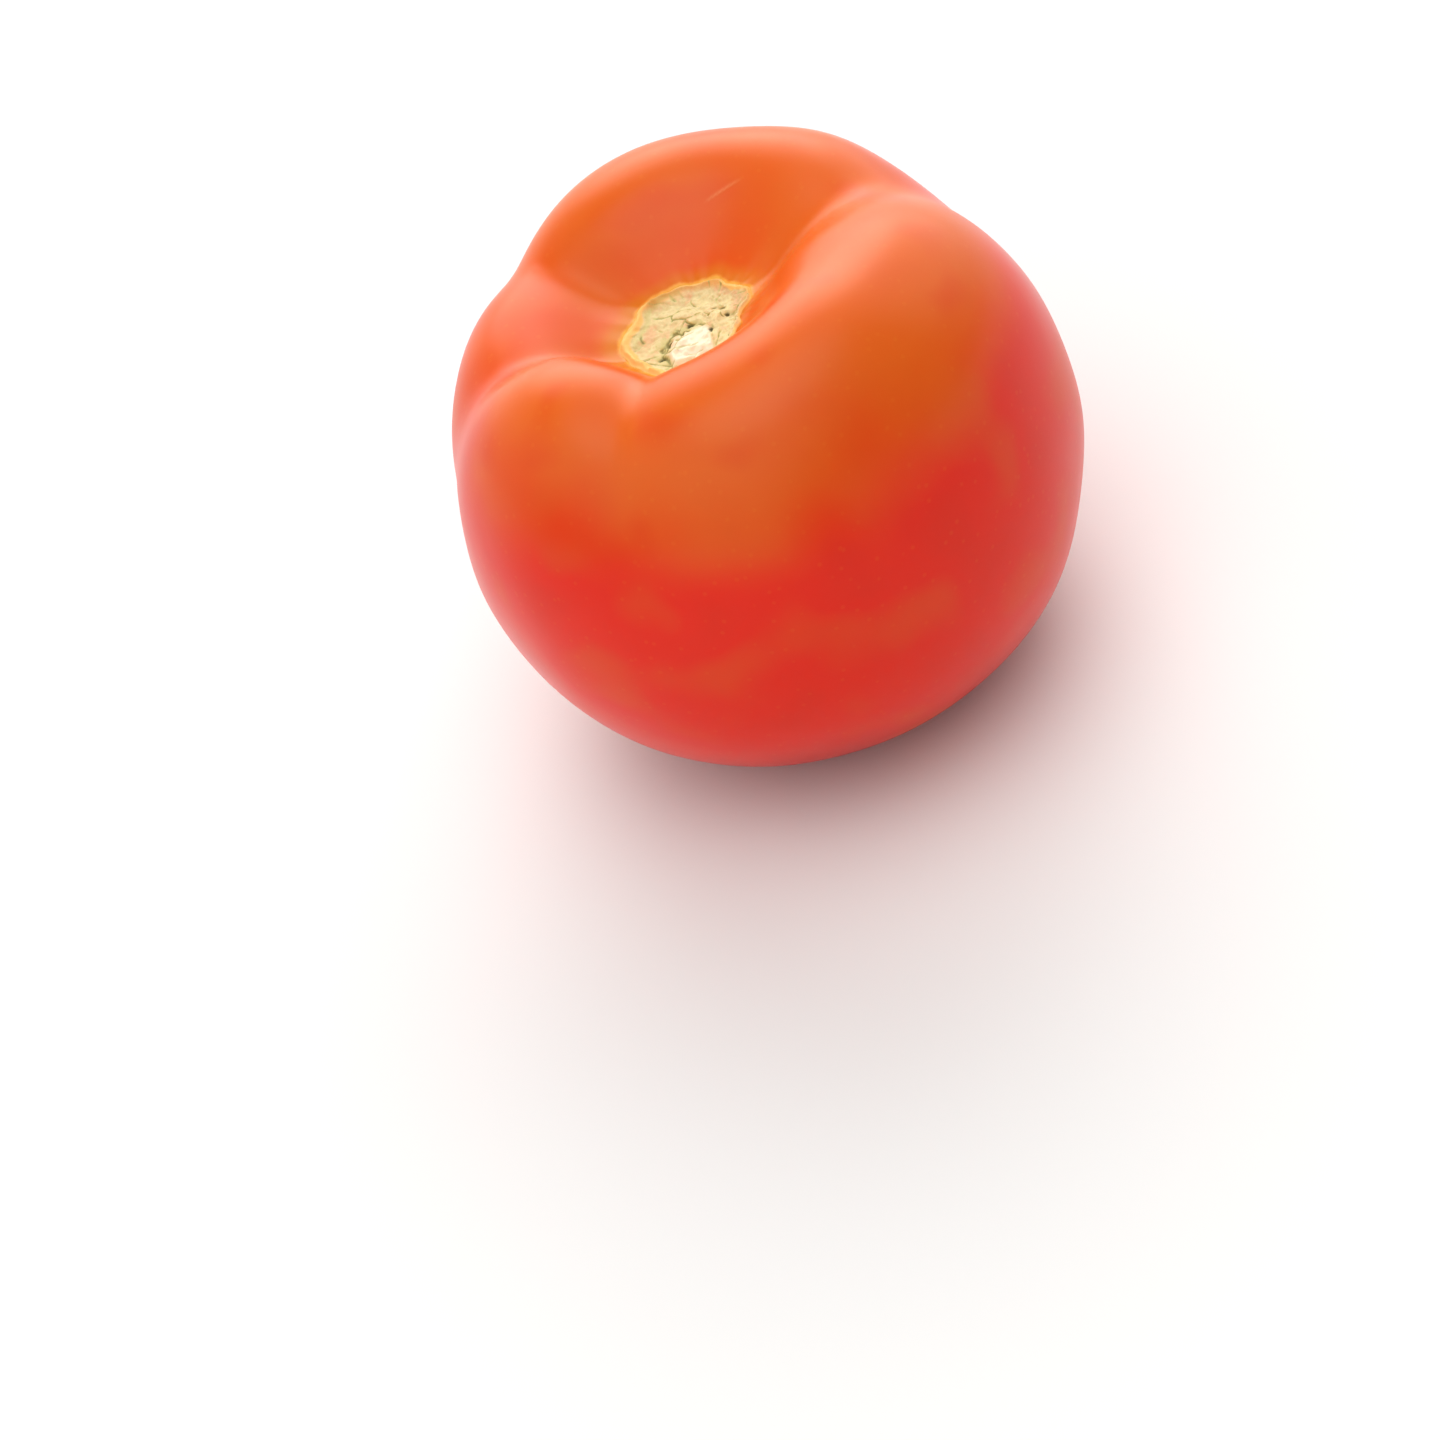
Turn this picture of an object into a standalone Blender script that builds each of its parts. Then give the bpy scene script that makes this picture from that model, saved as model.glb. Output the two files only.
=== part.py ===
"""A ripe ribbed tomato without its calyx, standing on its blossom end.

The fruit is one closed skin over one solid. Its surface is a loft: at every azimuth round the stem
axis a meridian runs from the flat resting spot, up the flank, over the crest of the shoulder and
down to the corky stem scar. Each meridian is a uniform cubic B-spline. Its control points slide
between two profiles, that of a lobe's crown and that of a groove's bottom. The whole loft then
leans, as in a fruit that hung askew.

Metres, +Z up. The origin is the middle of the resting spot. Azimuth 0 is +X and 90 is +Y.
"""

from collections import namedtuple

import bmesh
import bpy
import numpy as np

MM = 0.001

# Body
BODY_RADIUS = 36.2 * MM  # the flank swells a little past it
BODY_HEIGHT = 62.0 * MM  # from the resting spot to the level that the shoulders drop from
REST_RADIUS = 8.5 * MM  # flat spot at the blossom end
LEAN_DEG = 8.0  # how far the stem end tips towards -X

# Stem end
CAVITY_DEPTH = 9.7 * MM  # from the body height down to the scar
SCAR_RADIUS = 7.8 * MM
SCAR_BETWEEN = 0.93  # share of its radius that the scar keeps between the grooves
SCAR_CORNER = 0.22  # how far the scar's corners reach into the grooves, as a share of its radius
SCAR_SHIFT = 1.9 * MM  # the scar sits off the axis, towards SCAR_SHIFT_DEG
SCAR_SHIFT_DEG = 190.0
CREST_LIFT = 1.9 * MM  # a B-spline stays inside its control points, so the crest's stand higher

# Lobes: azimuth, swell of the flank, run from scar rim to crest, drop of the crest from BODY_HEIGHT
Lobe = namedtuple("Lobe", "azimuth swell run drop")
LOBES = (
    Lobe(50.0, 0.970, 11.5 * MM, 5.5 * MM),  # back right
    Lobe(110.0, 1.040, 11.5 * MM, 3.0 * MM),  # back
    Lobe(155.0, 0.975, 12.5 * MM, 5.2 * MM),  # left
    Lobe(208.0, 1.020, 6.8 * MM, -0.2 * MM),  # front left, the highest
    Lobe(295.0, 1.000, 8.0 * MM, 1.8 * MM),  # front right, the widest
    Lobe(350.0, 1.000, 5.5 * MM, 4.5 * MM),  # right
)
LOBE_SHARPNESS = 6.0  # how quickly one lobe's values give way to the next one's

# Grooves between the lobes: azimuth, half width, depth as a share of the full groove profile
Groove = namedtuple("Groove", "azimuth half_width depth")
GROOVES = (
    Groove(16.0, 17.0, 0.85),
    Groove(132.0, 15.0, 0.60),
    Groove(178.0, 13.0, 0.45),
    Groove(242.0, 14.0, 0.35),
)
GROOVE_ROUNDING = 0.25  # rounds the bottom of a groove, in half widths
GROOVE_FALL = 1.25  # how steeply a groove's sides rise

# Flank profile, as shares of the lobe's radius and of BODY_HEIGHT
TOE_RADIUS, TOE_HEIGHT = 0.75, 0.07
LOW_RADIUS, LOW_HEIGHT = 1.01, 0.30
HIGH_RADIUS, HIGH_HEIGHT = 1.06, 0.56
SHOULDER_RADIUS, SHOULDER_RISE = 0.96, 0.68
WALL_REACH = 0.40  # where the cavity's wall turns, as a share of the way from the scar to the crest

# At each control point of a meridian, how far a full groove draws it in, as a share of the lobe's
# radius, and how far it sinks it, as a share of the cavity's depth below the crest
GROOVE_DRAW = (0, 0, 0, 0.004, 0.02, 0.05, 0.09, 0.05, 0, 0, 0, 0, 0)
GROOVE_SINK = (0, 0, 0, 0, 0, 0.05, 0.37, 0.80, 0.95, 0.50, 0, 0, 0)

# Mesh
AZIMUTHS = 72
RINGS = 37
REST_STATION = 1.0  # the meridian leaves the flat resting spot here
FLOOR_STATION = 11.0  # and reaches the flat floor of the scar here
SHARP_DEG = 40.0  # edges that turn more than this are shaded sharp

# Skin
SKIN_SRGB = (0.878, 0.251, 0.110)
SKIN_ROUGHNESS = 0.28


def angle_between(azimuth, other):
    """Signed angle from other to azimuth, in degrees from -180 to 180."""
    return (azimuth - other + 180.0) % 360.0 - 180.0


def lobe_value(azimuth, field):
    """Mean of the lobes' values, each weighted by exp(sharpness * (cos(angle to the lobe) - 1))."""
    away = np.radians(angle_between(azimuth[:, None], [lobe.azimuth for lobe in LOBES]))
    weight = np.exp(LOBE_SHARPNESS * (np.cos(away) - 1.0))
    return weight @ [getattr(lobe, field) for lobe in LOBES] / weight.sum(axis=1)


def groove_share(azimuth):
    """Sum over the grooves of depth * exp(-(rounded distance in half widths) ** fall)."""
    share = np.zeros_like(azimuth)
    for groove in GROOVES:
        away = angle_between(azimuth, groove.azimuth) / groove.half_width
        rounded = np.hypot(away, GROOVE_ROUNDING) - GROOVE_ROUNDING
        share += groove.depth * np.exp(-(rounded**GROOVE_FALL))
    return share


def control_points(azimuth):
    """(azimuths, 13, 2) array of the meridians' control points, as radius and height."""
    radius = BODY_RADIUS * lobe_value(azimuth, "swell")
    crest = BODY_HEIGHT - lobe_value(azimuth, "drop")
    groove = groove_share(azimuth)
    scar = BODY_HEIGHT - CAVITY_DEPTH
    shift = SCAR_SHIFT * np.cos(np.radians(angle_between(azimuth, SCAR_SHIFT_DEG)))
    rim = SCAR_RADIUS * (SCAR_BETWEEN + SCAR_CORNER * groove) + shift
    crest_radius = SCAR_RADIUS + lobe_value(azimuth, "run")
    shoulder = HIGH_HEIGHT * BODY_HEIGHT
    points = (
        (0.0, 0.0),
        (REST_RADIUS, 0.0),
        (2 * REST_RADIUS, 0.0),
        (TOE_RADIUS * radius, TOE_HEIGHT * BODY_HEIGHT),
        (LOW_RADIUS * radius, LOW_HEIGHT * BODY_HEIGHT),
        (HIGH_RADIUS * radius, HIGH_HEIGHT * BODY_HEIGHT),
        (SHOULDER_RADIUS * radius, shoulder + SHOULDER_RISE * (crest - shoulder)),
        ((crest_radius + radius) / 2, crest + CREST_LIFT),
        (crest_radius, crest + CREST_LIFT),
        (rim + WALL_REACH * (crest_radius - rim), scar + WALL_REACH * (crest - scar)),
        (rim, scar),
        (rim / 2, scar),
        (0.0, scar),
    )
    control = np.empty((len(azimuth), len(points), 2))
    for station, (across, up) in enumerate(points):
        control[:, station, 0] = across - GROOVE_DRAW[station] * groove * radius
        control[:, station, 1] = up - GROOVE_SINK[station] * groove * (crest - scar)
    return control


def spline(control, station):
    """Uniform cubic B-spline along each meridian, mirrored in the axis at both of its ends."""
    mirror = np.array([-1.0, 1.0])
    ends = (control[:, 1:2] * mirror, control, control[:, -2:-1] * mirror)
    padded = np.concatenate(ends, axis=1)
    first = np.clip(np.floor(station).astype(int), 0, control.shape[1] - 2)
    t = station - first
    weights = ((1 - t) ** 3, 3 * t**3 - 6 * t**2 + 4, -3 * t**3 + 3 * t**2 + 3 * t + 1, t**3)
    return sum(weights[k][:, None] * padded[:, first + k] for k in range(4)) / 6


def lean(radius, height, azimuth):
    """Bends the upright loft: its axis becomes an arc that turns LEAN_DEG over BODY_HEIGHT."""
    bend = np.radians(LEAN_DEG)
    turn = bend * height / BODY_HEIGHT
    arm = BODY_HEIGHT / bend
    outward = radius * np.cos(azimuth)
    x = outward * np.cos(turn) - arm * (1 - np.cos(turn))
    z = outward * np.sin(turn) + arm * np.sin(turn)
    return np.stack([x, radius * np.sin(azimuth), z], axis=-1)


def fruit_surface(azimuth, station):
    """(azimuths, stations, 3) points of the skin, for azimuths in degrees and spline stations."""
    meridians = spline(control_points(azimuth), station)
    return lean(meridians[..., 0], meridians[..., 1], np.radians(azimuth)[:, None])


def skin_mesh(name):
    """Rings of the surface joined by quads, closed by the resting spot and the scar's floor."""
    azimuth = np.arange(AZIMUTHS) * 360.0 / AZIMUTHS
    station = np.linspace(REST_STATION, FLOOR_STATION, RINGS)
    points = fruit_surface(azimuth, station)
    form = bmesh.new()
    rings = [[form.verts.new(point) for point in points[:, ring]] for ring in range(RINGS)]
    for lower, upper in zip(rings, rings[1:]):
        for here in range(AZIMUTHS):
            there = (here + 1) % AZIMUTHS
            form.faces.new((lower[here], lower[there], upper[there], upper[here]))
    form.faces.new(rings[0][::-1])
    form.faces.new(rings[-1])
    mesh = bpy.data.meshes.new(name)
    form.to_mesh(mesh)
    form.free()
    mesh.shade_smooth()
    mesh.set_sharp_from_angle(angle=np.radians(SHARP_DEG))
    return mesh


def skin_material(name):
    """Waxy red skin."""
    material = bpy.data.materials.new(name)
    material.use_nodes = True
    shader = material.node_tree.nodes["Principled BSDF"]
    linear = [((c + 0.055) / 1.055) ** 2.4 for c in SKIN_SRGB]
    shader.inputs["Base Color"].default_value = (*linear, 1.0)
    shader.inputs["Roughness"].default_value = SKIN_ROUGHNESS
    shader.inputs["Metallic"].default_value = 0.0
    return material


def main():
    for old in list(bpy.data.objects):
        bpy.data.objects.remove(old)
    mesh = skin_mesh("tomato")
    mesh.materials.append(skin_material("tomato_skin"))
    bpy.context.scene.collection.objects.link(bpy.data.objects.new("tomato", mesh))


main()
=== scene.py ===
"""A ripe ribbed tomato without its calyx, finished for close views, on a plain pale floor.

The skin is the same loft as the design's solid, drawn finer: at every azimuth round the stem axis a
meridian runs from the resting spot, up the flank, over the shoulder's crest and down to the stem
scar. To it come what only shows close up: broad swells, puckers round the scar, a healed scratch,
the corky stem scar and the blossom scar. Metres, +Z up.
"""

import math
from collections import namedtuple

import bpy
import numpy as np
from mathutils import Matrix, Vector


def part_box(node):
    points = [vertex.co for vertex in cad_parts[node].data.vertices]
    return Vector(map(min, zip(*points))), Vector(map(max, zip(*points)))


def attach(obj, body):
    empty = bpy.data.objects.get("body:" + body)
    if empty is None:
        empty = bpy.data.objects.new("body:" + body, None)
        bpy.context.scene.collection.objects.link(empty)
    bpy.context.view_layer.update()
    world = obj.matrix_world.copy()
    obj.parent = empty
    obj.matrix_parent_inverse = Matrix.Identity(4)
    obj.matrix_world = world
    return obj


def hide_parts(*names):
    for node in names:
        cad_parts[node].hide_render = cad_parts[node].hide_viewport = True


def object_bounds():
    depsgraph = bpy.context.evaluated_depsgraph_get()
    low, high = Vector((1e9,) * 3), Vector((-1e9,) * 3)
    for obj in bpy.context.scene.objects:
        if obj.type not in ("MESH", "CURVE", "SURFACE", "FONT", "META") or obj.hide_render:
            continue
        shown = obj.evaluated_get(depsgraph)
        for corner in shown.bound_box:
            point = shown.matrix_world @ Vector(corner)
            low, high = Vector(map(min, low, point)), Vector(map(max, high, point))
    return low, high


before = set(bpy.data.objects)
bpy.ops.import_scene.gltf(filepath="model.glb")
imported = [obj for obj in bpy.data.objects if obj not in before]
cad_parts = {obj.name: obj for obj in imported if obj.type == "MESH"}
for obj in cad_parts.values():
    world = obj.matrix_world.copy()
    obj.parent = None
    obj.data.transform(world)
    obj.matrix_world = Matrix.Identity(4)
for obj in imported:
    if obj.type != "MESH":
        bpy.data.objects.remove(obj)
cad_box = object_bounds()

MM = 0.001

# ---------------------------------------------------------------- form of the fruit

BODY_RADIUS = 36.2 * MM
BODY_HEIGHT = 62.0 * MM
REST_RADIUS = 8.5 * MM
LEAN_DEG = 8.0
CAVITY_DEPTH = 9.7 * MM
SCAR_RADIUS = 7.8 * MM
SCAR_BETWEEN = 0.93  # share of its radius that the scar keeps between the grooves
SCAR_CORNER = 0.22
SCAR_SHIFT = 1.9 * MM
SCAR_SHIFT_DEG = 190.0
CREST_LIFT = 1.9 * MM

# Lobes: azimuth, swell of the flank, run from scar rim to crest, drop of the crest from BODY_HEIGHT
Lobe = namedtuple("Lobe", "azimuth swell run drop")
LOBES = (
    Lobe(50.0, 0.970, 11.5 * MM, 5.5 * MM),  # back right
    Lobe(110.0, 1.040, 11.5 * MM, 3.0 * MM),  # back
    Lobe(155.0, 0.975, 12.5 * MM, 5.2 * MM),  # left
    Lobe(208.0, 1.020, 6.8 * MM, -0.2 * MM),  # front left, the highest
    Lobe(295.0, 1.000, 8.0 * MM, 1.8 * MM),  # front right, the widest
    Lobe(350.0, 1.000, 5.5 * MM, 4.5 * MM),  # right
)
LOBE_SHARPNESS = 6.0

# Grooves between the lobes: azimuth, half width, depth as a share of the full groove profile
Groove = namedtuple("Groove", "azimuth half_width depth")
GROOVES = (
    Groove(16.0, 17.0, 0.85),
    Groove(132.0, 15.0, 0.60),
    Groove(178.0, 13.0, 0.45),
    Groove(242.0, 14.0, 0.35),
)
GROOVE_ROUNDING = 0.25
GROOVE_FALL = 1.25

# Flank profile, as shares of the lobe's radius and of BODY_HEIGHT
TOE_RADIUS, TOE_HEIGHT = 0.75, 0.07
LOW_RADIUS, LOW_HEIGHT = 1.01, 0.30
HIGH_RADIUS, HIGH_HEIGHT = 1.06, 0.56
SHOULDER_RADIUS, SHOULDER_RISE = 0.96, 0.68
WALL_REACH = 0.40

# At each control point of a meridian, how far a full groove draws it in and sinks it
GROOVE_DRAW = (0, 0, 0, 0.004, 0.02, 0.05, 0.09, 0.05, 0, 0, 0, 0, 0)
GROOVE_SINK = (0, 0, 0, 0, 0, 0.05, 0.37, 0.80, 0.95, 0.50, 0, 0, 0)

# Where along the meridian's spline things are: it counts control points
BASE_STATION = 0.0
CREST_STATION = 8.0
RIM_STATION = 10.0
SCAR_CENTRE_STATION = 12.0


def angle_between(azimuth, other):
    """Signed angle from other to azimuth, in degrees from -180 to 180."""
    return (azimuth - other + 180.0) % 360.0 - 180.0


def towards(angle, side_deg):
    """Cosine of the angle between a direction in radians and one in degrees."""
    return np.cos(angle - math.radians(side_deg))


def lobe_value(azimuth, field):
    """Mean of the lobes' values, each weighted by exp(sharpness * (cos(angle to the lobe) - 1))."""
    away = np.radians(angle_between(azimuth[:, None], [lobe.azimuth for lobe in LOBES]))
    weight = np.exp(LOBE_SHARPNESS * (np.cos(away) - 1.0))
    return weight @ [getattr(lobe, field) for lobe in LOBES] / weight.sum(axis=1)


def groove_share(azimuth):
    """Sum over the grooves of depth * exp(-(rounded distance in half widths) ** fall)."""
    share = np.zeros_like(azimuth)
    for groove in GROOVES:
        away = angle_between(azimuth, groove.azimuth) / groove.half_width
        rounded = np.hypot(away, GROOVE_ROUNDING) - GROOVE_ROUNDING
        share += groove.depth * np.exp(-(rounded**GROOVE_FALL))
    return share


def control_points(azimuth):
    """(azimuths, 13, 2) array of the meridians' control points, as radius and height."""
    radius = BODY_RADIUS * lobe_value(azimuth, "swell")
    crest = BODY_HEIGHT - lobe_value(azimuth, "drop")
    groove = groove_share(azimuth)
    scar = BODY_HEIGHT - CAVITY_DEPTH
    shift = SCAR_SHIFT * np.cos(np.radians(angle_between(azimuth, SCAR_SHIFT_DEG)))
    rim = SCAR_RADIUS * (SCAR_BETWEEN + SCAR_CORNER * groove) + shift
    crest_radius = SCAR_RADIUS + lobe_value(azimuth, "run")
    shoulder = HIGH_HEIGHT * BODY_HEIGHT
    points = (
        (0.0, 0.0),
        (REST_RADIUS, 0.0),
        (2 * REST_RADIUS, 0.0),
        (TOE_RADIUS * radius, TOE_HEIGHT * BODY_HEIGHT),
        (LOW_RADIUS * radius, LOW_HEIGHT * BODY_HEIGHT),
        (HIGH_RADIUS * radius, HIGH_HEIGHT * BODY_HEIGHT),
        (SHOULDER_RADIUS * radius, shoulder + SHOULDER_RISE * (crest - shoulder)),
        ((crest_radius + radius) / 2, crest + CREST_LIFT),
        (crest_radius, crest + CREST_LIFT),
        (rim + WALL_REACH * (crest_radius - rim), scar + WALL_REACH * (crest - scar)),
        (rim, scar),
        (rim / 2, scar),
        (0.0, scar),
    )
    control = np.empty((len(azimuth), len(points), 2))
    for station, (across, up) in enumerate(points):
        control[:, station, 0] = across - GROOVE_DRAW[station] * groove * radius
        control[:, station, 1] = up - GROOVE_SINK[station] * groove * (crest - scar)
    return control


def spline(control, station):
    """Uniform cubic B-spline along each meridian, mirrored in the axis at both of its ends."""
    mirror = np.array([-1.0, 1.0])
    ends = (control[:, 1:2] * mirror, control, control[:, -2:-1] * mirror)
    padded = np.concatenate(ends, axis=1)
    first = np.clip(np.floor(station).astype(int), 0, control.shape[1] - 2)
    t = station - first
    weights = ((1 - t) ** 3, 3 * t**3 - 6 * t**2 + 4, -3 * t**3 + 3 * t**2 + 3 * t + 1, t**3)
    return sum(weights[k][:, None] * padded[:, first + k] for k in range(4)) / 6


def lean(radius, height, azimuth):
    """Bends the upright loft: its axis becomes an arc that turns LEAN_DEG over BODY_HEIGHT."""
    bend = math.radians(LEAN_DEG)
    turn = bend * height / BODY_HEIGHT
    arm = BODY_HEIGHT / bend
    outward = radius * np.cos(azimuth)
    x = outward * np.cos(turn) - arm * (1 - np.cos(turn))
    z = outward * np.sin(turn) + arm * np.sin(turn)
    return np.stack([x, radius * np.sin(azimuth), z], axis=-1)


def loft(azimuth, station):
    """(azimuths, stations, 3) points of the smooth skin, for azimuths in degrees."""
    meridians = spline(control_points(azimuth), station)
    return lean(meridians[..., 0], meridians[..., 1], np.radians(azimuth)[:, None])


def fit_to_solid():
    """Scale and shift, axis by axis, that take the smooth skin's box to the solid's box."""
    smooth = loft(np.arange(0.0, 360.0, 5.0), np.linspace(1.0, 11.0, 37)).reshape(-1, 3)
    low, high = (np.array(corner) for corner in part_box("tomato"))
    scale = (high - low) / np.ptp(smooth, axis=0)
    return scale, low - smooth.min(axis=0) * scale


SOLID_SCALE, SOLID_SHIFT = fit_to_solid()


def smooth_skin(azimuth, station):
    """The loft, in the place and at the size of the design's solid."""
    return loft(azimuth, station) * SOLID_SCALE + SOLID_SHIFT


# ---------------------------------------------------------------- relief


def ease(low, high, value):
    """0 below low, 1 above high, and 3t^2 - 2t^3 between them; low may be above high."""
    t = np.clip((value - low) / (high - low), 0.0, 1.0)
    return t * t * (3.0 - 2.0 * t)


def bump(value, width):
    """A bell: exp(-(value / width)^2)."""
    return np.exp(-((value / width) ** 2))


def lumps(points, spacing, seed):
    """Smooth noise from -1 to 1: seeded values on a cubic lattice, eased between its corners."""
    size = 32
    lattice = np.random.default_rng(seed).uniform(-1.0, 1.0, (size, size, size))
    place = points / spacing + 0.5 * size
    corner = np.floor(place).astype(int)
    t = place - corner
    t = t**3 * (t * (6.0 * t - 15.0) + 10.0)
    total = np.zeros(points.shape[:-1])
    for step in np.ndindex(2, 2, 2):
        share = np.prod(np.where(step, t, 1.0 - t), axis=-1)
        x, y, z = np.moveaxis((corner + step) % size, -1, 0)
        total += share * lattice[x, y, z]
    return total


def swells(points, shortest, longest, seed):
    """Sum of eight plane waves in seeded directions, from -1 to 1 or so."""
    draw = np.random.default_rng(seed)
    total = np.zeros(points.shape[:-1])
    for _ in range(8):
        way = draw.normal(size=3)
        length = draw.uniform(shortest, longest)
        turn = 2.0 * np.pi * (points @ (way / np.linalg.norm(way))) / length
        total += np.sin(turn + draw.uniform(0.0, 2.0 * np.pi)) / 8**0.5
    return total


def outward_normals(points):
    """Unit normals of a grid that closes round its first axis, from central differences."""
    around = np.roll(points, -1, axis=0) - np.roll(points, 1, axis=0)
    along = np.gradient(points, axis=1)
    normal = np.cross(around, along)
    normal[:, [0, -1]] = normal[:, [1, -2]].mean(axis=0)
    return normal / np.linalg.norm(normal, axis=-1, keepdims=True)


# ---------------------------------------------------------------- meshes


def closed_mesh(name, points, values):
    """A mesh of the grid's quads, with its first and last rings each drawn to one point.

    values are per-point attributes by name, as arrays of the grid's shape.
    """
    turns, rings = points.shape[:2]
    here = np.arange(turns)
    there = (here + 1) % turns
    inner = np.arange(rings - 3)
    corner = (here[:, None] * (rings - 2) + inner).ravel()
    beside = (there[:, None] * (rings - 2) + inner).ravel()
    quads = np.stack([corner, beside, beside + 1, corner + 1], axis=1)
    base = turns * (rings - 2)
    base_fan = np.stack([there * (rings - 2), here * (rings - 2), np.full(turns, base)], axis=1)
    last = rings - 3
    top = np.full(turns, base + 1)
    top_fan = np.stack([here * (rings - 2) + last, there * (rings - 2) + last, top], axis=1)
    fans = np.concatenate([base_fan, top_fan])
    starts = np.concatenate([np.arange(len(quads)) * 4, len(quads) * 4 + np.arange(len(fans)) * 3])

    def per_point(grid):
        """The grid without its end rings, then the mean of each end ring."""
        middle = grid[:, 1:-1].reshape(turns * (rings - 2), -1)
        ends = [grid[:, end].mean(axis=0).ravel() for end in (0, -1)]
        return np.concatenate([middle, ends])

    mesh = bpy.data.meshes.new(name)
    mesh.vertices.add(base + 2)
    mesh.vertices.foreach_set("co", per_point(points).astype(np.float32).ravel())
    loops = np.concatenate([quads.ravel(), fans.ravel()])
    mesh.loops.add(len(loops))
    mesh.loops.foreach_set("vertex_index", loops.astype(np.int32))
    mesh.polygons.add(len(starts))
    mesh.polygons.foreach_set("loop_start", starts.astype(np.int32))
    mesh.update(calc_edges=True)
    mesh.shade_smooth()
    for key, grid in values.items():
        layer = mesh.attributes.new(key, "FLOAT", "POINT")
        layer.data.foreach_set("value", per_point(grid).astype(np.float32).ravel())
    return mesh


def piece(name, mesh, material):
    """An object that rides on the fruit, with the material it is given."""
    mesh.materials.append(material)
    made = bpy.data.objects.new(name, mesh)
    bpy.context.scene.collection.objects.link(made)
    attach(made, "root")
    return made


# ---------------------------------------------------------------- skin

SKIN_TURNS = 400
SKIN_RINGS = 236
CAVITY_DENSITY = 2.2  # rings stand this much closer beyond the crest
SWELL_HEIGHT = 0.16 * MM
SWELL_SHORT, SWELL_LONG = 15 * MM, 34 * MM
SWELL_FREE, SWELL_FULL = 2.0 * MM, 9.0 * MM  # heights between which the swells set in
PUCKER_HEIGHT = 0.045 * MM
PUCKER_REACH = 2.2 * MM
PUCKERS, BROAD_PUCKERS = 29, 17  # folds round the scar
BLOSSOM_RADIUS = 2.2 * MM
BLOSSOM_DEPTH = 0.7 * MM
FOOT_HEIGHT = 1.0 * MM  # skin below this height is the resting spot's
SINK_UNDER_SCAR = 1.1 * MM
SINK_FREE, SINK_FULL = 0.2 * MM, -0.6 * MM  # distances from the cork's edge between which it sinks
# A healed scratch on the skin: azimuth and station of its middle, length, width, tilt from level
Scratch = namedtuple("Scratch", "azimuth station length width tilt")
SCRATCH = Scratch(62.0, 8.28, 5.6 * MM, 0.15 * MM, 12.0)
SCRATCH_BEND = 0.18 * MM
SCRATCH_DEPTH = 0.10 * MM
SCRATCH_LIP, LIP_WIDTH = 0.05 * MM, 2.2  # the lip's width is in widths of the scratch
# Waves in the cork's outline: share of its radius, count round it and phase
OUTLINE_WAVES = ((0.028, 7, 0.4), (0.020, 11, 2.0), (0.010, 19, 1.1))
OUTLINE = 1.02  # the cork's mean radius as a share of the smooth rim's
# Where the outline bulges or is cut back: azimuth, half width and share of its radius
BULGE = (150.0, 35.0, 0.05)
CUT_BACK = (322.0, 38.0, 0.20)
# What the skin's mesh tells its material: to_scar in mm, height in BODY_HEIGHT, the rest 0 to 1
SKIN_VALUES = ("to_scar", "height", "groove", "sunny", "scratch", "blossom")


def even_stations(count):
    """Stations at equal steps along the mean meridian, closer together beyond the crest."""
    fine = np.linspace(BASE_STATION, SCAR_CENTRE_STATION, 2000)
    mean = smooth_skin(np.arange(0.0, 360.0, 10.0), fine)
    step = np.linalg.norm(np.diff(mean, axis=1), axis=-1).mean(axis=0)
    step = step * np.where(fine[1:] > CREST_STATION, CAVITY_DENSITY, 1.0)
    travelled = np.concatenate([[0.0], np.cumsum(step)])
    return np.interp(np.linspace(0.0, travelled[-1], count), travelled, fine)


def distance_along(points, stations, station):
    """Signed distance along each meridian from the given station, positive towards the base."""
    step = np.linalg.norm(np.diff(points, axis=1), axis=-1)
    travelled = np.concatenate([np.zeros((len(points), 1)), np.cumsum(step, axis=1)], axis=1)
    ring = np.searchsorted(stations, station)
    return travelled[:, ring : ring + 1] - travelled


def scar_outline(azimuth):
    """Share of the smooth rim's radius at which the cork ends: sine waves, a bulge and a cut."""
    turn = np.radians(azimuth)
    ragged = sum(share * np.sin(count * turn + phase) for share, count, phase in OUTLINE_WAVES)
    bulge = BULGE[2] * bump(angle_between(azimuth, BULGE[0]), BULGE[1])
    cut_back = CUT_BACK[2] * bump(angle_between(azimuth, CUT_BACK[0]), CUT_BACK[1])
    return OUTLINE + ragged + bulge - cut_back


def skin_puckers(azimuth, to_scar):
    """Radial folds drawn in to the scar: two cosines round it, their phases wandering.

    They fade with exp(-distance / reach) and ease off under the cork.
    """
    turn = np.radians(azimuth)[:, None]
    wander = 0.9 * np.sin(3 * turn + 0.6) + 0.7 * np.sin(7 * turn + 2.1)
    folds = np.cos(PUCKERS * turn + wander) + 0.6 * np.cos(BROAD_PUCKERS * turn - wander + 1.0)
    return folds * np.exp(-np.abs(to_scar) / PUCKER_REACH) * ease(-0.5 * MM, 1.0 * MM, to_scar)


def scratch_distance(points):
    """Distance from the healed scratch and share of the way along it, -1 to 1 from end to end.

    The scratch is a short line through its middle, tilted up from +X and bent along Y by
    bend * (share^2 - share).
    """
    middle = smooth_skin(np.array([SCRATCH.azimuth]), np.array([SCRATCH.station]))[0, 0]
    tilt = math.radians(SCRATCH.tilt)
    along = np.array([math.cos(tilt), 0.0, math.sin(tilt)])
    away = points - middle
    share = away @ along / SCRATCH.length * 2.0
    across = away - (away @ along)[..., None] * along
    across[..., 1] += SCRATCH_BEND * (share**2 - share)
    return np.linalg.norm(across, axis=-1), share


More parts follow.
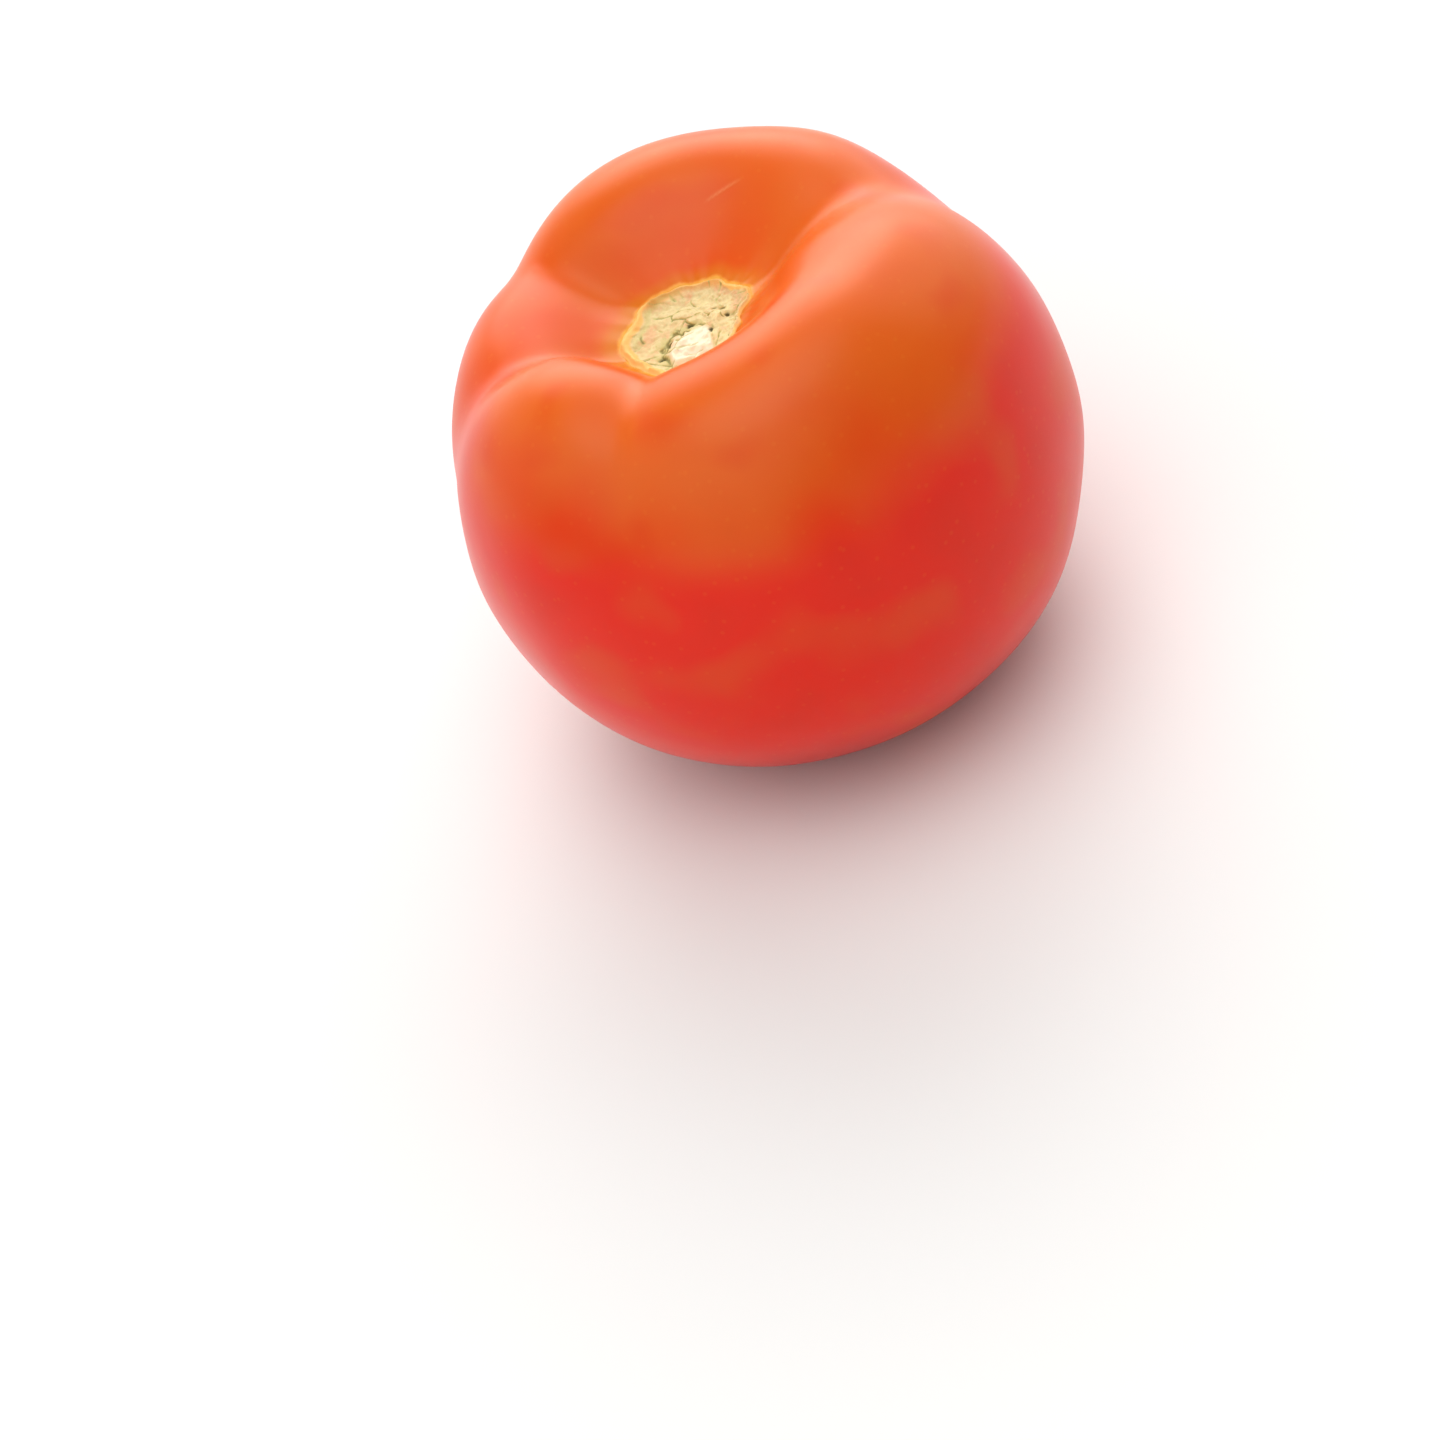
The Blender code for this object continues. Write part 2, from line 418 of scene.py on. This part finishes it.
def make_skin(material):
    """The whole skin: smooth loft plus relief along its normals, sunk where the cork covers it."""
    azimuth = np.arange(SKIN_TURNS) * 360.0 / SKIN_TURNS
    stations = even_stations(SKIN_RINGS)
    points = smooth_skin(azimuth, stations)
    normal = outward_normals(points)
    to_scar = distance_along(points, stations, RIM_STATION)
    to_scar = to_scar + SCAR_RADIUS * (OUTLINE - scar_outline(azimuth))[:, None]
    radius = np.hypot(points[..., 0], points[..., 1])
    rising = ease(SWELL_FREE, SWELL_FULL, points[..., 2])
    relief = SWELL_HEIGHT * swells(points, SWELL_SHORT, SWELL_LONG, 5) * rising
    relief += PUCKER_HEIGHT * skin_puckers(azimuth, to_scar)
    relief -= SINK_UNDER_SCAR * ease(SINK_FREE, SINK_FULL, to_scar)
    off, share = scratch_distance(points)
    within = ease(1.0, 0.6, np.abs(share))
    mark = bump(off, SCRATCH.width) * within
    lip = bump(off, LIP_WIDTH * SCRATCH.width) * within
    relief += SCRATCH_LIP * lip - SCRATCH_DEPTH * mark
    points = points + relief[..., None] * normal
    under = (points[..., 2] < FOOT_HEIGHT) & (radius < 2 * BLOSSOM_RADIUS)
    points[..., 2] += np.where(under, blossom_dimple(radius), 0.0)
    grooves = np.broadcast_to(groove_share(azimuth)[:, None], to_scar.shape)
    sunny = ease(-0.1, 0.8, towards(np.radians(azimuth), RING_SIDE_DEG))
    height = points[..., 2] / BODY_HEIGHT
    sunny = np.broadcast_to(sunny[:, None], to_scar.shape)
    blossom = bump(radius, BLOSSOM_RADIUS) * ease(3 * FOOT_HEIGHT, FOOT_HEIGHT, points[..., 2])
    values = dict(zip(SKIN_VALUES, (to_scar / MM, height, grooves, sunny, mark, blossom)))
    skin = piece("tomato_skin", closed_mesh("tomato_skin", points, values), material)
    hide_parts("tomato")
    return skin


# ---------------------------------------------------------------- stem scar

SCAR_TURNS = 360
SCAR_RINGS = 100
SCAR_UNDERSIDE_RINGS = 8
UNDERSIDE_SHARE = 0.97  # the underside's radius as a share of the rim's
SCAR_LIFT = 0.15 * MM  # the cork stands this proud of the skin
SCAR_BURY = 1.8 * MM  # and reaches this far under it
RIM_ROLL = 0.35 * MM
CORE_AT = (-1.9 * MM, -2.9 * MM)  # x, y from the scar's centre
CORE_SIZE = (2.6 * MM, 2.75 * MM)  # half widths along x and y
CORE_RISE = 0.32 * MM
MOAT_AT = 1.14  # in half widths of the core
PLATES = 48
CRACK_WIDTH = 0.16 * MM
CRACK_DEPTH = 0.26 * MM
SEAM_WANDER = 0.35 * MM
# Lumps in the cork: how far apart they are and how high
COARSE_SPACING, COARSE_HEIGHT = 1.6 * MM, 0.20 * MM
MEDIUM_SPACING, MEDIUM_HEIGHT = 0.8 * MM, 0.14 * MM
FINE_SPACING, FINE_HEIGHT = 0.35 * MM, 0.07 * MM
# A shallow trough runs round the cork: its share of the radius, half width and depth
TROUGH_AT, TROUGH_WIDTH, TROUGH_DEPTH = 0.62, 0.20, 0.35 * MM
# Pits where vessels died back: x, y from the scar's centre, and radius
PITS = (
    (4.2 * MM, -0.4 * MM, 0.42 * MM),
    (3.1 * MM, 1.7 * MM, 0.36 * MM),
    (2.4 * MM, 2.3 * MM, 0.24 * MM),
    (0.5 * MM, -1.7 * MM, 0.42 * MM),
    (-1.0 * MM, 0.5 * MM, 0.28 * MM),
    (-3.5 * MM, -0.5 * MM, 0.28 * MM),
    (-4.8 * MM, -2.1 * MM, 0.32 * MM),
)
PIT_DEPTH = 0.45 * MM
RING_SIDE_DEG = 196.0  # the yellow ring is widest on this side
RING_NARROW, RING_WIDE = 0.045, 0.165  # its width as a share of the scar's radius
STREAK_DEG, STREAK_HALF_DEG, STREAK_WIDE = 33.0, 16.0, 0.09  # where it widens once more
MOAT_SIDE_DEG = 125.0  # the moat round the core is deepest on this side
PAINTED_SHADE_SIDE_DEG = 140.0  # the olive painted shade inside the ring shows on this side
EDGE_SIDE_DEG = 80.0  # the tan edge inside the ring shows on this side
# Zones the cork's mesh tells its material; the second holds the cracks and the painted shade inside the
# ring
CORK_ZONES = ("core", "crack_and_shade", "pit", "ring", "edge")


def gap_to_plates(points, count, reach, seed):
    """Distance between the nearest and second nearest of seeded points in a disc: 0 on a seam."""
    draw = np.random.default_rng(seed)
    radius = reach * np.sqrt(draw.uniform(0.0, 1.0, count))
    turn = draw.uniform(0.0, 2.0 * np.pi, count)
    seeds = np.stack([radius * np.cos(turn), radius * np.sin(turn)], axis=-1)
    nearest = np.full(points.shape[:-1], np.inf)
    second = np.full(points.shape[:-1], np.inf)
    for middle in seeds:
        away = np.hypot(points[..., 0] - middle[0], points[..., 1] - middle[1])
        second = np.minimum(second, np.maximum(nearest, away))
        nearest = np.minimum(nearest, away)
    return second - nearest


def scar_relief(azimuth, share):
    """Height of the cork over the smooth scar, and its zones, for a share of the way to its rim.

    A raised oval core, where the stalk's vessels ran, with a cracked moat round it; lumpy plates of
    cork with seams between them; a few dark pits; and a rim that rolls up to the skin. Each is a
    bell or an eased step of a distance that noise has made ragged.
    """
    turn = np.radians(azimuth)[:, None]
    out = share[None, :]
    x = SCAR_RADIUS * out * np.cos(turn)
    y = SCAR_RADIUS * out * np.sin(turn)
    flat = np.stack([x, y, np.zeros_like(x)], axis=-1)
    coarse = lumps(flat, COARSE_SPACING, 11)
    medium = lumps(flat, MEDIUM_SPACING, 12)
    fine = lumps(flat, FINE_SPACING, 13)
    bent = flat + np.stack([coarse, medium, fine], axis=-1) * SEAM_WANDER

    # The core, an oval with a ragged edge, and the moat round it, broken up by the lumps
    around_core = np.hypot((x - CORE_AT[0]) / CORE_SIZE[0], (y - CORE_AT[1]) / CORE_SIZE[1])
    around_core = around_core + 0.22 * coarse + 0.12 * medium
    core = ease(1.16, 0.68, around_core)
    facing = np.arctan2(y - CORE_AT[1], x - CORE_AT[0])
    behind_core = 0.25 + 0.75 * ease(-0.2, 0.7, towards(facing, MOAT_SIDE_DEG))
    moat_line = around_core - MOAT_AT - 0.10 * fine
    moat = np.maximum(bump(moat_line, 0.10), 0.35 * bump(moat_line - 0.12, 0.30))
    moat = moat * behind_core * ease(-0.75, 0.25, medium + 0.5 * fine)

    # Seams between the plates, strongest where the cork stands high and faint on the core
    seams = bump(gap_to_plates(bent, PLATES, SCAR_RADIUS, 23), CRACK_WIDTH)
    seams = seams * ease(-0.35, 0.45, coarse + 0.6 * medium) * (1.0 - 0.45 * core)

    # The yellow ring at the rim, with an olive painted shade and a tan edge inside it
    width = RING_NARROW + (RING_WIDE - RING_NARROW) * ease(0.10, 0.75, towards(turn, RING_SIDE_DEG))
    width = width + STREAK_WIDE * bump(angle_between(azimuth, STREAK_DEG)[:, None], STREAK_HALF_DEG)
    inner = 1.0 - width + 0.012 * coarse + 0.010 * medium
    ring = ease(0.0, 0.035, out - inner)
    # Painted shade: an olive darkening along the ring's inner edge, on one side only
    painted_shade = 0.28 * bump(out - inner + 0.04, 0.05) * ease(0.5, 0.95, towards(turn, PAINTED_SHADE_SIDE_DEG))
    edge = ease(0.80, 0.97, out + 0.06 * coarse) * ease(-0.2, 0.8, towards(turn, EDGE_SIDE_DEG))

    # This zone holds the cracks, the moat and the painted shade; it darkens and dents the cork
    crack_and_shade = np.maximum(np.maximum(moat, 0.85 * seams) * (1.0 - ring), painted_shade)
    pit = np.zeros_like(x)
    for across, along, radius in PITS:
        pit = np.maximum(pit, bump(np.hypot(bent[..., 0] - across, bent[..., 1] - along), radius))

    height = RIM_ROLL * bump(out - 0.5 * (inner + 1.0), 0.05)
    height = height + CORE_RISE * core * (1.0 - 0.35 * around_core**2 + 0.35 * medium)
    height = height + COARSE_HEIGHT * coarse + MEDIUM_HEIGHT * medium + FINE_HEIGHT * fine
    height = height - CRACK_DEPTH * crack_and_shade - PIT_DEPTH * pit
    height = height - TROUGH_DEPTH * bump(out - TROUGH_AT, TROUGH_WIDTH) * (1.0 - core)
    return height, dict(zip(CORK_ZONES, (core, crack_and_shade, pit, ring, edge)))


def make_stem_scar(material):
    """The cork as a closed slab, buried in the skin.

    Its top is the smooth scar, spread to the cork's outline and raised by the relief along its
    normals. Its underside runs straight from the rim to the middle.
    """
    azimuth = np.arange(SCAR_TURNS) * 360.0 / SCAR_TURNS
    share = np.linspace(1.0, 0.0, SCAR_RINGS)
    stations = SCAR_CENTRE_STATION - (SCAR_CENTRE_STATION - RIM_STATION) * share
    top = smooth_skin(azimuth, stations)
    spread = 1.0 + (scar_outline(azimuth)[:, None] - 1.0) * ease(0.5, 1.0, share)[None, :]
    centre = top[:, -1].mean(axis=0)
    top = centre + (top - centre) * spread[..., None]
    up = outward_normals(top)
    height, zones = scar_relief(azimuth, share)
    off_rim = ease(1.0, 0.94, share)[None, :]
    top = top + ((SCAR_LIFT + height) * off_rim)[..., None] * up
    share_below = np.linspace(0.0, 1.0, SCAR_UNDERSIDE_RINGS)[None, :, None]
    rim_up = up[:, :1].mean(axis=(0, 1))
    below = centre + (top[:, :1] - centre) * share_below * UNDERSIDE_SHARE
    below = below - rim_up * SCAR_BURY
    points = np.concatenate([below, top], axis=1)
    pad = np.zeros((SCAR_TURNS, SCAR_UNDERSIDE_RINGS))
    values = {key: np.concatenate([pad, grid], axis=1) for key, grid in zones.items()}
    return piece("stem_scar", closed_mesh("stem_scar", points, values), material)


# ---------------------------------------------------------------- blossom scar

BLOSSOM_TURNS = 96
BLOSSOM_RINGS = 24
BLOSSOM_SCAR_RADIUS = 1.3 * MM
BLOSSOM_PROUD = 0.10 * MM  # it stands this proud of its dimple, and its tip and lumps more so
BLOSSOM_TIP = 0.12 * MM
BLOSSOM_SPACING, BLOSSOM_ROUGH = 0.45 * MM, 0.05 * MM  # how far apart its lumps are and how high
BLOSSOM_BURY = 1.2 * MM


def blossom_dimple(radius):
    """Depth of the dimple at the blossom end, a bell."""
    return BLOSSOM_DEPTH * bump(radius, BLOSSOM_RADIUS * 0.7)


def make_blossom_scar(material):
    """The small corky point where the flower's style dropped off, in its dimple.

    A disc whose radius waves round it, rough and a little proud, with its back buried in the skin.
    """
    turn = (np.arange(BLOSSOM_TURNS) * 2.0 * np.pi / BLOSSOM_TURNS)[:, None]
    share = np.linspace(0.0, 1.0, BLOSSOM_RINGS)[None, :]
    waves = 1.0 + 0.12 * np.sin(5 * turn + 0.7) + 0.07 * np.sin(11 * turn)
    radius = BLOSSOM_SCAR_RADIUS * share * waves
    x = radius * np.cos(turn)
    y = radius * np.sin(turn)
    rough = lumps(np.stack([x, y, np.zeros_like(x)], axis=-1), BLOSSOM_SPACING, 31)
    proud = BLOSSOM_PROUD + BLOSSOM_ROUGH * rough + BLOSSOM_TIP * bump(share, 0.25)
    proud = proud * ease(1.0, 0.85, share)
    outside = np.stack([x, y, blossom_dimple(radius) - proud], axis=-1)
    inside = np.stack([x, y, np.full_like(x, BLOSSOM_BURY)], axis=-1)[:, ::-1]
    points = np.concatenate([outside, inside], axis=1)
    pad = np.zeros(points.shape[:2])
    values = {zone: pad for zone in CORK_ZONES}
    return piece("blossom_scar", closed_mesh("blossom_scar", points, values), material)


# ---------------------------------------------------------------- materials


def linear(hex_colour):
    """An sRGB hex colour as linear RGBA."""
    parts = [int(hex_colour[i : i + 2], 16) / 255.0 for i in (0, 2, 4)]
    return (*[c / 12.92 if c <= 0.04045 else ((c + 0.055) / 1.055) ** 2.4 for c in parts], 1.0)


def add(tree, kind, output, settings=None, **inputs):
    """Adds a shader node and gives its output of that name or place.

    settings are the node's properties. inputs are its sockets' values or links, by name, or by
    place as i0, i1 and so on.
    """
    node = tree.nodes.new("ShaderNode" + kind)
    for key, value in (settings or {}).items():
        setattr(node, key, value)
    for key, value in inputs.items():
        socket = node.inputs[int(key[1:]) if key[1:].isdigit() else key]
        if isinstance(value, bpy.types.NodeSocket):
            tree.links.new(value, socket)
        else:
            socket.default_value = value
    return node.outputs[output]


# Node settings
EASED = {"interpolation_type": "SMOOTHSTEP"}
STRAIGHT = {"interpolation_type": "LINEAR"}
TIMES = {"operation": "MULTIPLY"}
TIMES_AND_PLUS = {"operation": "MULTIPLY_ADD"}

# A colour laid over those before it: its share goes from none to most as value goes from low to high
Layer = namedtuple("Layer", "value low high most colour curve", defaults=[EASED])


def paint(tree, base, layers):
    """A base colour with the layers over it, as a socket."""
    colour = linear(base)
    for value, low, high, most, over, curve in layers:
        share = add(tree, "MapRange", "Result", curve, i0=value, i1=low, i2=high, i3=0.0, i4=most)
        colour = add(tree, "Mix", 2, {"data_type": "RGBA"}, i0=share, i6=colour, i7=linear(over))
    return colour


def material_of(name):
    """A new material's name, tree, Principled shader and Object coordinates."""
    made = bpy.data.materials.new(name)
    made.use_nodes = True
    tree = made.node_tree
    shader = tree.nodes["Principled BSDF"]
    place = add(tree, "TexCoord", "Object")
    return made, tree, shader, place


# How far apart the lumps of each pattern are: on the skin
CLOUD_SPACING = 24 * MM  # broad clouds of colour
PATCH_SPACING = 10 * MM
SKIN_GRAIN = 0.9 * MM  # real cells are a tenth of it, too fine to show
FLECK_SPACING = 1.7 * MM
# and on the cork
STAIN_SPACING = 2.6 * MM
BLOT_SPACING = 1.1 * MM
CORK_GRAIN = 0.35 * MM


def waxy_skin():
    """Tomato skin, grown: a thin clear wax over red flesh that light enters a little way.

    The wax gives broad soft highlights and pale edges. The flesh under it goes from red on the
    flanks to orange on the shoulders and yellow beside the scar, in soft clouds.
    """
    made, tree, shader, place = material_of("waxy_tomato_skin")
    to_scar, height, groove, sunny, scratch, blossom = (
        add(tree, "Attribute", "Fac", {"attribute_name": name}) for name in SKIN_VALUES
    )
    scale = 1.0 / CLOUD_SPACING
    clouds = add(tree, "TexNoise", "Fac", Vector=place, Scale=scale, Detail=2.0, Roughness=0.45)
    scale = 1.0 / PATCH_SPACING
    patches = add(tree, "TexNoise", "Fac", Vector=place, Scale=scale, Detail=1.0, Roughness=0.4)
    scale = 1.0 / SKIN_GRAIN
    grain = add(tree, "TexNoise", "Fac", Vector=place, Scale=scale, Detail=2.0, Roughness=0.5)
    flecks = add(tree, "TexVoronoi", "Distance", Vector=place, Scale=1.0 / FLECK_SPACING)
    lifted = add(tree, "Math", "Value", TIMES_AND_PLUS, i0=clouds, i1=0.40, i2=height)
    near = add(tree, "Math", "Value", TIMES_AND_PLUS, i0=patches, i1=5.0, i2=to_scar)
    rim = add(tree, "Math", "Value", TIMES_AND_PLUS, i0=grain, i1=0.5, i2=to_scar)
    by_rim = add(tree, "MapRange", "Result", EASED, i0=rim, i1=3.2, i2=1.2, i3=0.0, i4=0.85)
    golden = add(tree, "Math", "Value", TIMES, i0=by_rim, i1=sunny)
    low_in_groove = add(tree, "MapRange", "Result", EASED, i0=groove, i1=0.15, i2=0.6)
    by_scar = add(tree, "MapRange", "Result", EASED, i0=near, i1=18.0, i2=6.0)
    in_groove = add(tree, "Math", "Value", TIMES, i0=low_in_groove, i1=by_scar)
    layers = (
        Layer(lifted, 0.90, 1.16, 1.0, "E66C20"),  # orange shoulder
        Layer(lifted, 0.50, 0.15, 0.8, "B80A0A"),  # deeper red base, partly the fruit's own colour and partly painted shade under it
        Layer(patches, 0.48, 0.75, 0.35, "E0601A"),  # patches more orange
        Layer(patches, 0.46, 0.22, 0.40, "DE2C08"),  # and more red
        Layer(near, 18.0, 5.0, 0.65, "E06414"),  # orange towards the scar
        Layer(near, 5.6, 2.4, 0.75, "E08420"),  # golden nearer to it
        Layer(golden, 0.0, 1.0, 1.0, "DD8420", STRAIGHT),  # and more so on its sunny side
        Layer(rim, 1.1, 0.4, 0.9, "FBC05A"),  # yellow beside the cork
        Layer(in_groove, 0.0, 1.0, 0.30, "E28420", STRAIGHT),  # golden grooves
        Layer(flecks, 0.22, 0.08, 0.05, "F4A43A"),
        Layer(scratch, 0.0, 1.0, 0.6, "F09A60", STRAIGHT),
        Layer(blossom, 0.35, 0.8, 1.0, "9A5A22"),  # brown blossom end
    )
    colour = paint(tree, "E82A0A", layers)
    tree.links.new(colour, shader.inputs["Base Color"])
    dull = add(tree, "MapRange", "Result", EASED, i0=patches, i1=0.25, i2=0.75, i3=0.28, i4=0.35)
    tree.links.new(dull, shader.inputs["Roughness"])
    shader.inputs["IOR"].default_value = 1.36
    shader.inputs["Subsurface Weight"].default_value = 0.15
    shader.inputs["Subsurface Radius"].default_value = (1.0, 0.25, 0.12)
    shader.inputs["Subsurface Scale"].default_value = 4 * MM
    shader.inputs["Coat Weight"].default_value = 0.15
    shader.inputs["Coat Roughness"].default_value = 0.18
    shader.inputs["Coat IOR"].default_value = 1.45
    dents = add(tree, "Bump", "Normal", Strength=0.10, Distance=0.05 * MM, Height=grain)
    tree.links.new(dents, shader.inputs["Normal"])
    return made


def dry_cork():
    """Scar tissue, grown and dried: dull and grainy, cream with olive cracks and an ivory core."""
    made, tree, shader, place = material_of("dry_stem_cork")
    core, crack_and_shade, pit, ring, edge = (
        add(tree, "Attribute", "Fac", {"attribute_name": name}) for name in CORK_ZONES
    )
    scale = 1.0 / STAIN_SPACING
    stains = add(tree, "TexNoise", "Fac", Vector=place, Scale=scale, Detail=3.0, Roughness=0.6)
    scale = 1.0 / BLOT_SPACING
    blots = add(tree, "TexNoise", "Fac", Vector=place, Scale=scale, Detail=2.0, Roughness=0.6)
    scale = 1.0 / CORK_GRAIN
    grain = add(tree, "TexNoise", "Fac", Vector=place, Scale=scale, Detail=3.0, Roughness=0.6)
    layers = (
        Layer(stains, 0.38, 0.62, 1.0, "E6D29C"),  # straw
        Layer(stains, 0.50, 0.68, 0.75, "EDB98E"),  # pinkish stains
        Layer(blots, 0.56, 0.78, 0.40, "AAA05C"),  # olive blots
        Layer(grain, 0.70, 0.35, 0.20, "C2AE72"),  # dark grain
        Layer(core, 0.0, 1.0, 0.80, "FFF4DA", STRAIGHT),  # ivory
        Layer(edge, 0.0, 1.0, 0.80, "EAA654", STRAIGHT),  # tan
        Layer(crack_and_shade, 0.04, 0.40, 0.55, "C4BE74"),  # olive on the flanks of cracks, and the painted shade inside the ring
        Layer(crack_and_shade, 0.35, 0.95, 0.75, "7C7438"),  # and darker in its bottom
        Layer(pit, 0.20, 0.80, 0.9, "5A5428"),
        Layer(ring, 0.0, 1.0, 0.92, "FFCB7A", STRAIGHT),  # yellow
    )
    colour = paint(tree, "F0DCA8", layers)
    tree.links.new(colour, shader.inputs["Base Color"])
    shader.inputs["Roughness"].default_value = 0.62
    shader.inputs["IOR"].default_value = 1.45
    shader.inputs["Subsurface Weight"].default_value = 0.15
    shader.inputs["Subsurface Radius"].default_value = (1.0, 0.8, 0.5)
    shader.inputs["Subsurface Scale"].default_value = 1 * MM
    rough = add(tree, "Bump", "Normal", Strength=0.5, Distance=0.12 * MM, Height=grain)
    tree.links.new(rough, shader.inputs["Normal"])
    return made


# ---------------------------------------------------------------- stage

VIEW_ELEVATION_DEG = 40.0
VIEW_ROLL_DEG = 20.0
VIEW_DISTANCE = 0.430
LENS_MM, SENSOR_MM = 90.95, 36.0
FRAME_RIGHT = 5.4 * MM  # the fruit stands this far right of the view's middle
FRAME_UP = 32.2 * MM  # and this far above it
FLOOR_SIZE = 3.0


def make_floor():
    """A plain pale matt floor."""
    mesh = bpy.data.meshes.new("floor")
    half = FLOOR_SIZE / 2
    corners = [(-half, -half, 0), (half, -half, 0), (half, half, 0), (-half, half, 0)]
    mesh.from_pydata(corners, [], [(0, 1, 2, 3)])
    card, _, shader, _ = material_of("matt_white_card")
    shader.inputs["Base Color"].default_value = linear("F0F0EE")
    shader.inputs["Roughness"].default_value = 0.8
    mesh.materials.append(card)
    floor = bpy.data.objects.new("floor", mesh)
    floor.location.z = cad_box[0].z
    bpy.context.scene.collection.objects.link(floor)


# Soft light in the surroundings: azimuth, from the camera's side and positive to its right,
# elevation, radius of the glow and radiance at its middle, in degrees but for the last
Glow = namedtuple("Glow", "azimuth elevation radius radiance")
GLOWS = (
    Glow(-30.0, 48.0, 60.0, 0.76),  # key, left of the camera
    Glow(20.0, 86.0, 36.0, 1.30),  # overhead
    Glow(176.0, 35.0, 32.0, 1.90),  # back light
    Glow(180.0, 0.0, 55.0, 1.10),  # white wall behind
    Glow(136.0, 28.0, 42.0, 1.15),  # behind, right
    Glow(-112.0, 18.0, 42.0, 0.55),  # left
)
DIM_ROOM = 0.16  # radiance from everywhere else


def make_light():
    """White surroundings with soft glows from the left, overhead and behind.

    Each glow's light is eased in from its radius to its middle, by the cosine of the angle to it.
    """
    world = bpy.data.worlds.new("soft_white_studio")
    world.use_nodes = True
    tree = world.node_tree
    direction = add(tree, "TexCoord", "Generated")
    total = DIM_ROOM
    for glow in GLOWS:
        a, e = math.radians(glow.azimuth), math.radians(glow.elevation)
        source = (math.sin(a) * math.cos(e), -math.cos(a) * math.cos(e), math.sin(e))
        facing = add(tree, "VectorMath", "Value", {"operation": "DOT_PRODUCT"}, i0=direction, i1=source)
        outer, most = math.cos(math.radians(glow.radius)), glow.radiance
        light = add(tree, "MapRange", "Result", EASED, i0=facing, i1=outer, i2=1.0, i3=0.0, i4=most)
        total = add(tree, "Math", "Value", {"operation": "ADD"}, i0=light, i1=total)
    background = tree.nodes["Background"]
    background.inputs["Color"].default_value = linear("FFFFFF")
    tree.links.new(total, background.inputs["Strength"])
    bpy.context.scene.world = world


def make_camera():
    """Looks down on the fruit from the front, rolled so that the fruit leans left."""
    e, roll = math.radians(VIEW_ELEVATION_DEG), math.radians(VIEW_ROLL_DEG)
    back = Vector((0.0, -math.cos(e), math.sin(e)))
    level = Vector((1.0, 0.0, 0.0))
    upright = back.cross(level)
    right = level * math.cos(roll) - upright * math.sin(roll)
    up = level * math.sin(roll) + upright * math.cos(roll)
    middle = (cad_box[0] + cad_box[1]) / 2
    place = middle + back * VIEW_DISTANCE
    target = middle - right * FRAME_RIGHT - up * FRAME_UP
    depth = (place - target).normalized()
    across = up.cross(depth).normalized()
    turn = Matrix((across, depth.cross(across), depth)).transposed()
    camera = bpy.data.cameras.new("camera")
    camera.lens = LENS_MM
    camera.sensor_width = SENSOR_MM
    camera.clip_start = 0.01
    holder = bpy.data.objects.new("camera", camera)
    holder.matrix_world = Matrix.Translation(place) @ turn.to_4x4()
    bpy.context.scene.collection.objects.link(holder)
    bpy.context.scene.camera = holder


bpy.context.scene.view_settings.view_transform = "Standard"
bpy.context.scene.view_settings.look = "Medium High Contrast"
make_camera()
make_light()
make_floor()
make_skin(waxy_skin())
cork = dry_cork()
make_stem_scar(cork)
make_blossom_scar(cork)
